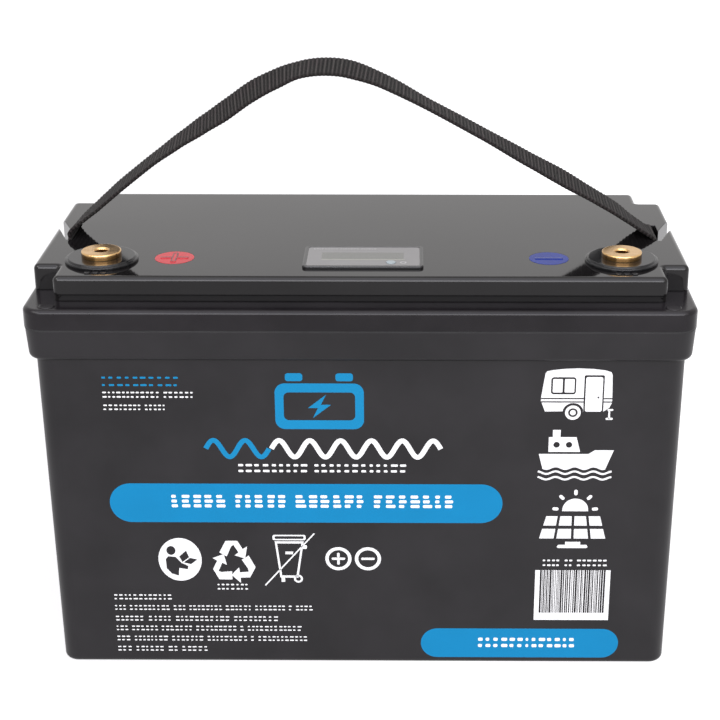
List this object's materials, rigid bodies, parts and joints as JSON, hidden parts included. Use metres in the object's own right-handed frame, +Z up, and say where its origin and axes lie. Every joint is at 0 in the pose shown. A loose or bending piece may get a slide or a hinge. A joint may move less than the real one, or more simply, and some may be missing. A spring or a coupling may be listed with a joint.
{
  "type": "deep cycle battery",
  "caption": "Deep cycle battery in a black box case with brass bolt-down terminals, a charge meter with a push button, and a carrying strap that folds to either side.",
  "frame": {"origin": "middle of the case's base", "axes": "+X along the case towards the negative terminal, -Y towards the printed front face and the meter, +Z up"},
  "size_m": [0.33, 0.172, 0.3029],
  "materials": {
    "case_plastic": "satin, fine moulded texture",
    "lid_plastic": "glossy",
    "cover_plastic": "polished, mirror-like",
    "collar_plastic": "glossy",
    "terminal_brass": "turned",
    "mark_red": "glossy",
    "mark_blue": "glossy",
    "meter_plastic": "satin",
    "meter_film": "glossy film",
    "lcd_glass": "glossy",
    "button_plastic": "satin",
    "webbing": "woven",
    "strap_stop_plastic": "satin",
    "seal_rubber": "matte",
    "screw_steel": "zinc plated",
    "tinned_copper": "tinned",
    "cable_red": "satin",
    "cable_black": "satin",
    "cell_sleeve": "shrink sleeve",
    "holder_plastic": "moulded",
    "nickel": "bright strip",
    "insulating_sheet": "pressed board",
    "foam": "open cell",
    "circuit_board": "solder mask",
    "chip_plastic": "moulded",
    "heatsink_aluminium": "extruded",
    "connector_plastic": "moulded"
  },
  "bodies": {
    "case": {"container": "case_plastic", "lid": "lid_plastic", "top_cover": "cover_plastic", "lid_gasket": "seal_rubber", "lid_screws": "screw_steel", "screw_plugs": "lid_plastic", "terminal_insert_positive": "terminal_brass", "terminal_insert_negative": "terminal_brass", "terminal_collar_positive": "collar_plastic", "terminal_collar_negative": "collar_plastic", "terminal_seals": "seal_rubber", "terminal_nuts": "screw_steel", "cable_lugs": "tinned_copper", "cable_positive": "cable_red", "cable_negative": "cable_black", "polarity_mark_positive": "mark_red", "polarity_mark_negative": "mark_blue", "meter_bezel": "meter_plastic", "meter_window": "meter_film", "meter_lcd": "lcd_glass", "meter_board": "circuit_board", "meter_wires": "cable_black", "strap_end_left": "webbing", "strap_end_right": "webbing", "strap_stops": "strap_stop_plastic", "cell_group_1": "cell_sleeve", "cell_group_2": "cell_sleeve", "cell_group_3": "cell_sleeve", "cell_group_4": "cell_sleeve", "cell_holder_1": "holder_plastic", "cell_holder_2": "holder_plastic", "cell_holder_3": "holder_plastic", "cell_holder_4": "holder_plastic", "series_plate_lower": "nickel", "series_plate_upper": "nickel", "negative_plate": "nickel", "positive_plate": "nickel", "link_plate_lower": "nickel", "link_plate_upper": "nickel", "interlayer_links": "nickel", "foam_pad_bottom": "foam", "insulator_bottom": "insulating_sheet", "insulator_middle": "insulating_sheet", "insulator_top": "insulating_sheet", "foam_end_pads": "foam", "foam_blocks_top": "foam", "bms_tray": "holder_plastic", "bms_board": "circuit_board", "bms_transistors": "chip_plastic", "bms_heatsink": "heatsink_aluminium", "bms_screws": "screw_steel", "bms_connector": "connector_plastic", "bms_terminals": "tinned_copper", "bms_cable": "cable_black", "balance_harness": "cable_black", "temperature_sensor": "chip_plastic"},
    "handle": {"handle_strap": "webbing"},
    "button": {"meter_button": "button_plastic"}
  },
  "joints": [
    {"name": "handle_swing", "type": "hinge", "parent": "case", "child": "handle", "pos_m": [0, 0, 0.2267], "axis": [1, 0, 0], "range_deg": [-75, 75]},
    {"name": "meter_button_press", "type": "slide", "parent": "case", "child": "button", "axis": [0, 0, -1], "range_m": [0, 0.0005], "stiffness_N_per_m": 600, "springref_m": -0.001}
  ]
}
